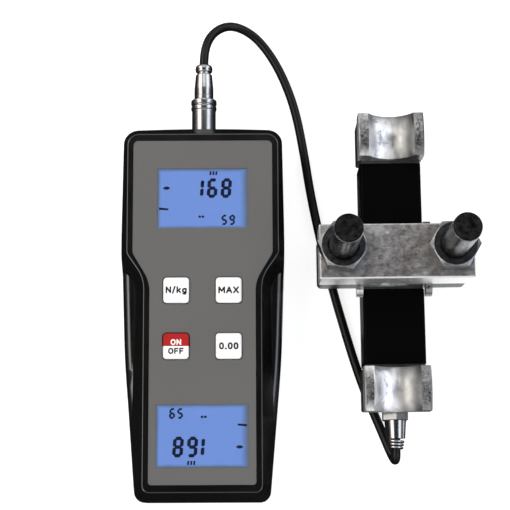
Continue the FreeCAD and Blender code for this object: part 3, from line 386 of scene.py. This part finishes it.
def eased(profile, reach, steps=5):
    """The profile with each of its inner corners drawn as a short curve."""
    points = [Vector(profile[0])]
    for before, corner, after in zip(profile, profile[1:], profile[2:]):
        corner = Vector(corner)
        back, ahead = Vector(before) - corner, Vector(after) - corner
        start = corner + back.normalized() * min(reach, back.length * EASED_SHARE)
        end = corner + ahead.normalized() * min(reach, ahead.length * EASED_SHARE)
        for i in range(steps + 1):
            t = i / steps
            points.append(start * (1 - t) ** 2 + corner * 2 * t * (1 - t) + end * t * t)
    return points + [Vector(profile[-1])]


def lathe(form, profile, place=Matrix.Identity(4), segments=72):
    """Turns a profile of (radius, height) about the place's Z axis; a radius of 0 closes an end."""
    rings = []
    for radius, height in profile:
        count = segments if radius > 0 else 1
        angles = [2 * math.pi * i / count for i in range(count)]
        rings.append([form.verts.new(place @ Vector((radius * math.cos(a), radius * math.sin(a), height)))
                      for a in angles])
    pairs = list(zip(rings, rings[1:]))
    if len(rings[0]) > 1 and len(rings[-1]) > 1:
        pairs.append((rings[-1], rings[0]))
    for low, high in pairs:
        for i in range(segments):
            corners = [low[i % len(low)], low[(i + 1) % len(low)],
                       high[(i + 1) % len(high)], high[i % len(high)]]
            form.faces.new(list(dict.fromkeys(corners)))


def along_case(x, y, z):
    """A place whose Z axis points along the case, towards the plug."""
    return Matrix.Translation((x, y, z)) @ Matrix.Rotation(-math.pi / 2, 4, "X")


def slab(form, points, low, high, place=Matrix.Identity(4)):
    """A flat polygon with a thickness."""
    below = [form.verts.new(place @ Vector((x, y, low))) for x, y in points]
    above = [form.verts.new(place @ Vector((x, y, high))) for x, y in points]
    form.faces.new(below)
    form.faces.new(above)
    for i in range(len(points)):
        j = (i + 1) % len(points)
        form.faces.new([below[i], below[j], above[j], above[i]])


# Displays: a lens over a lit screen, with dark segments between; places are from the middle
LENS_SINK = 0.35
SCREEN_THICK = 0.12
INK_THICK = 0.04
LAYER_GAP = 0.01
SEGMENT_SLANT = math.tan(math.radians(4.3))
# Shares of a segment's thickness, from its end: the gap there and where its taper starts
SEGMENT_GAP, SEGMENT_TAPER = 0.07, 0.42
SEGMENTS ={"1": "bc", "5": "acdfg", "6": "acdefg", "8": "abcdefg", "9": "abcdfg"}
LARGE_DIGITS = (("1", -4.4), ("6", 1.63), ("8", 7.72))
LARGE_SIZE = {"bottom": 0.25, "width": 4.55, "height": 8.8, "thick": 1.5}
SMALL_DIGITS = (("5", 8.0), ("9", 11.4))
SMALL_SIZE = {"bottom": -11.9, "width": 2.55, "height": 4.6, "thick": 0.88}
BLOB = [(-17.6, 4.7), (-16.6, 5.35), (-15.3, 5.45), (-14.2, 4.7), (-15.3, 4.0), (-16.6, 4.05)]
BAR = [(-19.1, -3.9), (-15.1, -4.4), (-15.0, -5.2), (-19.1, -5.0)]
TICKS = (3.3, 4.6, 5.9)
TICK_LOW, TICK_HIGH = 10.5, 12.2
DOTS = (-1.3, 0.1)
DOT_LEVEL = -8.1
DOT_SIZE = (0.6, 0.55)


def segment_lines(width, height, thick):
    """Each segment's letter and the two ends of its centre line."""
    left, right = thick / 2, width - thick / 2
    low, half, high = thick / 2, height / 2, height - thick / 2
    return {"a": ((left, high), (right, high)), "b": ((right, half), (right, high)),
            "c": ((right, low), (right, half)), "d": ((left, low), (right, low)),
            "e": ((left, low), (left, half)), "f": ((left, half), (left, high)),
            "g": ((left, half), (right, half))}


def digit_shapes(digit, left, bottom, width, height, thick):
    """The six-cornered segments of one slanted digit."""
    lines = segment_lines(width, height, thick)
    for letter in SEGMENTS[digit]:
        start, end = (Vector(point) for point in lines[letter])
        ahead = (end - start).normalized()
        aside = Vector((-ahead.y, ahead.x)) * thick / 2
        gap, inner = ahead * thick * SEGMENT_GAP, ahead * thick * SEGMENT_TAPER
        corners = [start + gap, start + inner + aside, end - inner + aside,
                   end - gap, end - inner - aside, start + inner - aside]
        yield [(left + p.x + p.y * SEGMENT_SLANT, bottom + p.y) for p in corners]


def oval(x, y, half_width, half_height, points=16):
    angles = [2 * math.pi / points * i for i in range(points)]
    return [(x + half_width * math.cos(a), y + half_height * math.sin(a)) for a in angles]


def reading_shapes():
    """What the display shows: a large and a small number, a blob, a bar, three ticks and two dots."""
    for digit, left in LARGE_DIGITS:
        yield from digit_shapes(digit, left, **LARGE_SIZE)
    for digit, left in SMALL_DIGITS:
        yield from digit_shapes(digit, left, **SMALL_SIZE)
    yield BLOB
    yield BAR
    for x in TICKS:
        yield [(x - 0.45, TICK_LOW), (x + 0.35, TICK_LOW), (x + 0.6, TICK_HIGH), (x - 0.2, TICK_HIGH)]
    for x in DOTS:
        yield oval(x, DOT_LEVEL, *DOT_SIZE)


def display(label, half_turn):
    """One display's screen, reading and lens; with the half turn it reads from the case's other end."""
    window = label + "_window"
    centre, low, high = middle(window)
    turn = Matrix.Translation(centre) @ Matrix.Rotation(math.pi if half_turn else 0, 4, "Z")
    right, up = SCREEN_WIDTH / 2, SCREEN_HEIGHT / 2
    corners = [(-right, -up), (right, -up), (right, up), (-right, up)]
    back, front = (low.z - high.z) / 2 + LAYER_GAP, (high.z - low.z) / 2
    screen = bmesh.new()
    slab(screen, corners, back, back + SCREEN_THICK, turn)
    piece(label + "_screen", screen, MATERIALS["display_blue"], "root")
    ink = bmesh.new()
    for shape in reading_shapes():
        slab(ink, shape, back + SCREEN_THICK + LAYER_GAP, back + SCREEN_THICK + INK_THICK, turn)
    piece(label + "_reading", ink, SEGMENT_NAVY, "root")
    lens = bmesh.new()
    slab(lens, corners, back + LENS_SINK, front, turn)
    piece(label + "_lens", lens, MATERIALS["window_clear"], "root", (window,))


# Legends on the keys, in bold strokes: each sign's width and its lines in a square of height 1
ROUND = [(0.5, 1), (0.82, 0.92), (1, 0.7), (1, 0.3), (0.82, 0.08), (0.5, 0),
         (0.18, 0.08), (0, 0.3), (0, 0.7), (0.18, 0.92), (0.5, 1)]
SIGNS = {"N": (0.74, [[(0, 0), (0, 1), (1, 0), (1, 1)]]),
         "/": (0.4, [[(0, -0.1), (1, 1.1)]]),
         "k": (0.58, [[(0, 0), (0, 1)], [(0.92, 0.68), (0, 0.26)], [(0.36, 0.42), (1, 0)]]),
         "g": (0.6, [[(1, 0.7), (1, -0.1), (0.75, -0.3), (0.1, -0.26)],
                     [(1, 0.5), (0.6, 0.7), (0.15, 0.6), (0, 0.35), (0.15, 0.1), (0.6, 0), (1, 0.2)]]),
         "M": (0.95, [[(0, 0), (0, 1), (0.5, 0.3), (1, 1), (1, 0)]]),
         "A": (0.86, [[(0, 0), (0.5, 1), (1, 0)], [(0.18, 0.32), (0.82, 0.32)]]),
         "X": (0.8, [[(0, 0), (1, 1)], [(0, 1), (1, 0)]]),
         "0": (0.6, [ROUND]),
         "O": (0.8, [ROUND]),
         "F": (0.62, [[(0, 0), (0, 1), (1, 1)], [(0, 0.5), (0.85, 0.5)]]),
         ".": (0.1, [[(0, 0.02), (1, 0.02)]])}
# Shares of a sign's height: the gap between signs and a stroke's width
SIGN_GAP = 0.45
STROKE = 0.29
STROKE_END_STEPS = 6
LEGEND_THICK = 0.02
# Each stroke stands this much higher for every face before it, so that no two tops are level
STROKE_STEP = 0.0001
# Label, words, key, body, height, how far above the key's middle, and ink
LEGENDS = (("unit", "N/kg", "key_unit", "unit_button", 2.3, 0.15, INK_BLACK),
           ("peak", "MAX", "key_peak", "peak_button", 2.35, 0.0, INK_BLACK),
           ("zero", "0.00", "key_zero", "zero_button", 2.35, 0.0, INK_BLACK),
           ("on", "ON", "key_power", "power_button", 2.0, 1.7, INK_WHITE),
           ("off", "OFF", "key_power", "power_button", 2.05, -2.1, INK_BLACK))


def stroke_shape(start, end, half):
    """A straight stroke with round ends."""
    ahead = math.atan2(end.y - start.y, end.x - start.x)
    shape = []
    for centre, turn in ((start, math.pi / 2), (end, -math.pi / 2)):
        for i in range(STROKE_END_STEPS + 1):
            angle = ahead + turn + math.pi * i / STROKE_END_STEPS
            shape.append((centre.x + half * math.cos(angle), centre.y + half * math.sin(angle)))
    return shape


def legend(label, words, key, body, height, rise, ink):
    """Printed signs in the middle of a key, or the rise above it."""
    centre, _, high = middle(key)
    left = -(sum(SIGNS[sign][0] for sign in words) + SIGN_GAP * (len(words) - 1)) / 2
    place = Matrix.Translation((centre.x, centre.y + rise, high.z))
    form = bmesh.new()
    for share, lines in (SIGNS[sign] for sign in words):
        for line in lines:
            points = [Vector((left + x * share, y - 0.5)) * height for x, y in line]
            for start, end in zip(points, points[1:]):
                top = LEGEND_THICK + STROKE_STEP * len(form.faces)
                slab(form, stroke_shape(start, end, STROKE * height / 2), 0, top, place)
        left += share + SIGN_GAP
    piece("legend_" + label, form, ink, body)


# Turned pieces of the plug and the clamp
def plug_grip():
    """The plug's end: collar, cone, neck and a full round ring."""
    centre, low, _ = middle("plug_nut")
    collar_and_cone = [(0, 0), (4.3, 0), (4.3, 3.6), (3.65, 10.2)]
    neck = [(2.9, 10.3), (2.9, 11.2)]
    ring = [(3.6, 11.4), (3.87, 12.3), (3.87, 13.3), (3.5, 14.3), (2.6, 14.8), (0, 14.8)]
    profile = eased(collar_and_cone + neck + ring, 0.4)
    form = bmesh.new()
    lathe(form, profile, along_case(centre.x, low.y, centre.z))
    return piece("plug_grip", form, MATERIALS["plug_chrome"], "root", ("plug_nut",))


def plug_collar():
    """The plug's pull sleeve with two rounded rings and a groove between them."""
    centre, low, _ = middle("plug_sleeve")
    barrel = [(4.4, 0), (5.15, 0), (5.35, 0.4), (5.35, 10.1), (5.1, 10.3)]
    first_ring = [(5.7, 10.55), (5.75, 12.05)]
    groove = [(5.05, 12.3), (5.05, 12.8)]
    second_ring = [(5.75, 13.0), (5.75, 14.9), (5.2, 15.35), (4.4, 15.35)]
    profile = eased(barrel + first_ring + groove + second_ring, 0.35)
    form = bmesh.new()
    lathe(form, profile, along_case(centre.x, low.y, centre.z))
    return piece("plug_collar", form, MATERIALS["plug_chrome"], "sleeve", ("plug_sleeve",))


STUD_RADIUS = 6


def stud_pair():
    """Both studs with a rounded rim and a slightly dished end."""
    centre, low, high = middle("studs")
    apart = (high.x - low.x) / 2 - STUD_RADIUS
    length = high.z - low.z
    shank = [(STUD_RADIUS - 0.6, 0), (STUD_RADIUS, 0), (STUD_RADIUS, length - 0.9)]
    dished_end = [(5.2, length), (4.7, length - 0.05), (3.6, length - 0.3), (0, length - 0.38)]
    profile = [(0, 0)] + eased(shank + dished_end, 0.3)
    form = bmesh.new()
    for side in (-1, 1):
        foot = (centre.x + side * apart, centre.y + side * apart * math.tan(SENSOR_TURN), low.z)
        lathe(form, profile, Matrix.Translation(foot))
    piece("stud_pair", form, MATERIALS["stud_steel"], "root", ("studs",), 28)


def solid(name, form):
    """A mesh object of a bmesh, for a boolean."""
    bmesh.ops.recalc_face_normals(form, faces=form.faces)
    mesh = bpy.data.meshes.new(name)
    form.to_mesh(mesh)
    form.free()
    made = bpy.data.objects.new(name, mesh)
    bpy.context.scene.collection.objects.link(made)
    return made


def cut(first, second, operation):
    """The boolean of two mesh objects, which are both used up, as a bmesh."""
    tool = first.modifiers.new("cut", "BOOLEAN")
    tool.object = second
    tool.operation = operation
    tool.solver = "EXACT"
    form = bmesh.new()
    form.from_mesh(first.evaluated_get(bpy.context.evaluated_depsgraph_get()).to_mesh())
    for used in (first, second):
        bpy.data.objects.remove(used)
    return form


NUT_FLATS = 19
NUT_BORE = STUD_RADIUS + 0.02
NUT_CHAMFER = math.radians(30)
NUT_TURNS = {"left": math.radians(-9) + SENSOR_TURN, "right": SENSOR_TURN}


def nut(side):
    """A hexagon nut whose corners are turned off at both ends, with a countersunk thread."""
    centre, low, high = middle(side + "_nut")
    height = high.z - low.z
    corner = NUT_FLATS / math.sqrt(3)
    hexagon = [(corner * math.cos(math.pi / 3 * i), corner * math.sin(math.pi / 3 * i)) for i in range(6)]
    prism = bmesh.new()
    slab(prism, hexagon, 0, height)
    rim, reach = NUT_FLATS / 2 - 0.35, corner + 0.2
    drop = (reach - rim) * math.tan(NUT_CHAMFER)
    blank = bmesh.new()
    lathe(blank, [(NUT_BORE, 0.7), (6.9, 0), (rim, 0), (reach, drop),
                  (reach, height - drop), (rim, height), (6.95, height), (NUT_BORE, height - 0.8)])
    form = cut(solid("prism", prism), solid("blank", blank), "INTERSECT")
    bmesh.ops.rotate(form, matrix=Matrix.Rotation(NUT_TURNS[side], 3, "Z"), verts=form.verts)
    bmesh.ops.translate(form, vec=(centre.x, centre.y, low.z), verts=form.verts)
    piece(side + "_hex_nut", form, MATERIALS["nut_steel"], "nut_" + side, (side + "_nut",), 20)


def strain_coil():
    """The strain spring as one tapered coil of round wire."""
    centre, low, high = middle("strain_spring")
    place = along_case(centre.x, low.y, centre.z)
    length, wire, turns = high.y - low.y, 0.5, 2.9
    outer, tip = 4.0, 3.3
    count, sides = 140, 12
    around = [2 * math.pi * k / sides for k in range(sides)]
    form = bmesh.new()
    rings = []
    for i in range(count + 1):
        share = i / count
        angle = 2 * math.pi * turns * share + math.pi / 2
        out = Vector((math.cos(angle), math.sin(angle), 0))
        spot = out * (outer + (tip - outer) * share - wire)
        spot.z = wire + (length - 2 * wire) * (1 - share)
        section = [(out * math.cos(a) + Vector((0, 0, math.sin(a)))) * wire for a in around]
        rings.append([form.verts.new(place @ (spot + offset)) for offset in section])
    for first, second in zip(rings, rings[1:]):
        for k in range(sides):
            form.faces.new([first[k], first[(k + 1) % sides], second[(k + 1) % sides], second[k]])
    form.faces.new(rings[0])
    form.faces.new(rings[-1])
    piece("strain_coil", form, MATERIALS["gland_nickel"], "root", ("strain_spring",), 60)


# The cord, by the same points as its solid
CORD_ROUTE = [(0, 114.2, 16), (0, 121.8, 16), (3.9, 131.2, 12.2), (11.8, 136.6, 7), (21.5, 133.6, 3.6),
              (29.3, 125.2, 2.1), (36, 113, 2.1), (41.6, 97.2, 2.1), (45.2, 78, 2.1), (48.4, 56, 2.1),
              (53, 33.5, 2.1), (58.2, 11.5, 2.1), (63.2, -6.5, 2.1), (67.6, -21.5, 2.1), (72.6, -36, 2.1),
              (78.4, -50, 2.1), (83.9, -63.6, 2.1), (84.01, -63.6, 12), (83.94, -54.4, 12),
              (83.89, -46.7, 12)]
CORD_DIAMETER = 4 * MM


def smooth_line(name, points, diameter, material):
    """A round cord along one NURBS spline whose control points are given in millimetres."""
    curve = bpy.data.curves.new(name, "CURVE")
    curve.dimensions = "3D"
    spline = curve.splines.new("NURBS")
    spline.points.add(len(points) - 1)
    for point, place in zip(spline.points, points):
        point.co = (*(number * MM for number in place), 1)
    spline.order_u = 3
    spline.use_endpoint_u = True
    spline.resolution_u = 12
    curve.bevel_depth = diameter / 2
    curve.bevel_resolution = 8
    curve.use_fill_caps = True
    made = bpy.data.objects.new(name, curve)
    bpy.context.scene.collection.objects.link(made)
    made.data.materials.append(material)
    return made


def cord(*turned):
    """The signal cord along its route, in place of its solid; the turned pieces it is given are not used.
    """
    made = smooth_line("cord", CORD_ROUTE, CORD_DIAMETER, MATERIALS["cord_black"])
    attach(made, "root")
    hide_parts("signal_cord")
    tuple(number * MM for number in CORD_ROUTE[-1])


# Camera, light and floor
TARGET = Vector((22.8, 24.2, 30)) * MM
FIELD = 221.6 * MM
CAMERA_DISTANCE = 640 * MM
CAMERA_ELEVATION = math.radians(80)
CAMERA_ROLL = math.radians(-0.25)


def camera():
    """The photograph's view: from almost straight above, with the field's width across the picture."""
    place = TARGET + Vector((0, -CAMERA_DISTANCE * math.cos(CAMERA_ELEVATION),
                             CAMERA_DISTANCE * math.sin(CAMERA_ELEVATION)))
    ahead = (TARGET - place).normalized()
    right = ahead.cross(Vector((0, 1, 0))).normalized()
    up = right.cross(ahead)
    right, up = (right * math.cos(CAMERA_ROLL) + up * math.sin(CAMERA_ROLL),
                 up * math.cos(CAMERA_ROLL) - right * math.sin(CAMERA_ROLL))
    eye = bpy.data.cameras.new("camera")
    eye.sensor_width = 36
    eye.lens = eye.sensor_width * (TARGET - place).length / FIELD
    made = bpy.data.objects.new("camera", eye)
    made.matrix_world = Matrix.Translation(place) @ Matrix((right, up, -ahead)).transposed().to_4x4()
    bpy.context.scene.collection.objects.link(made)
    bpy.context.scene.camera = made


def lamp():
    """A weak soft box beyond the meter's head, aimed at the object."""
    light = bpy.data.lights.new("top_box", "AREA")
    light.shape = "RECTANGLE"
    light.size, light.size_y = 0.8, 0.4
    light.energy = 1.5
    made = bpy.data.objects.new("top_box", light)
    made.location = (0.1, 0.9, 1.3)
    made.rotation_euler = (TARGET - made.location).to_track_quat("-Z", "Y").to_euler()
    bpy.context.scene.collection.objects.link(made)


# Light of the surroundings, by where it comes from, and the white that the camera sees
LEFT_BOX = (3.9, 3.75, 3.5)
RIGHT_BOX = (2.1, 2.25, 2.6)
BEYOND_ENDS = 0.75
LOW_SKY = 0.1
OVERHEAD = 0.025
BACKDROP = 0.96


def surroundings():
    """Soft studio light: dark overhead, a long soft box on each side, pale beyond both ends."""
    world = bpy.data.worlds.new("studio")
    world.use_nodes = True
    sky = Tree(world.node_tree)
    way = sky.node("SeparateXYZ", {"Vector": sky.node("TexCoord").outputs["Generated"]}).outputs
    aside, along = (sky.math("ABSOLUTE", way[letter]) for letter in "XY")
    box = sky.math("MULTIPLY", sky.step(aside, 0.9, 0.8), sky.step(along, 0.75, 0.5))
    near = sky.math("MULTIPLY", sky.step(aside, 0.36, 0.5), sky.span(sky.step(aside, 0.7, 0.8), 1.0, 0.4))
    left = sky.math("MULTIPLY", sky.math("MULTIPLY", box, near), sky.math("LESS_THAN", way["X"], 0.0))
    far = sky.math("MULTIPLY", box, sky.step(aside, 0.46, 0.6))
    right = sky.math("MULTIPLY", far, sky.math("GREATER_THAN", way["X"], 0.0))
    ends = sky.math("MULTIPLY", sky.step(along, 0.25, 0.7), BEYOND_ENDS)
    fill = sky.math("ADD", sky.math("MULTIPLY", sky.step(way["Z"], 0.93, 0.75), LOW_SKY), ends)
    light = sky.scaled((1, 1, 1), sky.math("ADD", fill, OVERHEAD))
    light = sky.added(light, sky.scaled(LEFT_BOX, left))
    light = sky.added(light, sky.scaled(RIGHT_BOX, right))
    seen = sky.node("LightPath").outputs["Is Camera Ray"]
    sky.tree.links.new(sky.mixed(seen, light, (BACKDROP, BACKDROP, BACKDROP, 1)),
                       sky.tree.nodes["Background"].inputs["Color"])
    bpy.context.scene.world = world


# The floor and the dark card on it, in metres
FLOOR_HALF = 3.0
FLOOR_LEVEL = -0.0002
FLOOR_GLOW = 0.84
CARD_EDGE = 0.05
# Past each stretch along the case the card's edge lies further right: its middle, half length and how much
CARD_STEPS = ((0.014, 0.022, 0.0185), (0.014, 0.056, 0.06), (0.003, 0.063, 3.0))


def stage():
    """A white floor, with a dark card that only reflections show."""
    mesh = bpy.data.meshes.new("floor")
    signs = ((-1, -1), (1, -1), (1, 1), (-1, 1))
    corners = [(x * FLOOR_HALF, y * FLOOR_HALF, FLOOR_LEVEL) for x, y in signs]
    mesh.from_pydata(corners, [], [(0, 1, 2, 3)])
    floor = bpy.data.objects.new("floor", mesh)
    bpy.context.scene.collection.objects.link(floor)
    paper = Shader("floor_paper", (0.4, 0.4, 0.4), 0.9, Specular_IOR_Level=0.0)
    along = paper.axis(paper.place, "Y")
    edge = CARD_EDGE
    for stretch, half_length, further in CARD_STEPS:
        off = paper.math("ABSOLUTE", paper.math("SUBTRACT", along, stretch))
        beyond = paper.math("GREATER_THAN", off, half_length)
        edge = paper.math("ADD", edge, paper.math("MULTIPLY", beyond, further))
    inside = paper.math("LESS_THAN", paper.axis(paper.place, "X"), edge)
    card = paper.math("MULTIPLY", paper.node("LightPath").outputs["Is Glossy Ray"], inside)
    white = paper.ramp(paper.noise(3), (0.3, 0.39), (0.7, 0.41))
    paper.color(paper.mixed(card, white, (0.02, 0.02, 0.02, 1)))
    paper.bsdf.inputs["Emission Color"].default_value = (1, 1, 1, 1)
    paper.tree.links.new(paper.span(card, FLOOR_GLOW, 0.0), paper.bsdf.inputs["Emission Strength"])
    # Seen from underneath, the floor lets the view through to the object's back
    under = paper.node("NewGeometry").outputs["Backfacing"]
    clear = paper.node("BsdfTransparent").outputs[0]
    both = paper.node("MixShader", {0: under, 1: paper.bsdf.outputs[0], 2: clear}).outputs[0]
    paper.tree.links.new(both, paper.tree.nodes["Material Output"].inputs["Surface"])
    floor.data.materials.append(paper.material)
    bpy.context.scene.view_settings.view_transform = "Standard"


# The whole scene
dress_nodes()
cord(plug_grip(), plug_collar())
display("upper", False)
display("lower", True)
for entry in LEGENDS:
    legend(*entry)
stud_pair()
for side in NUT_TURNS:
    nut(side)
strain_coil()
surroundings()
stage()
lamp()
camera()
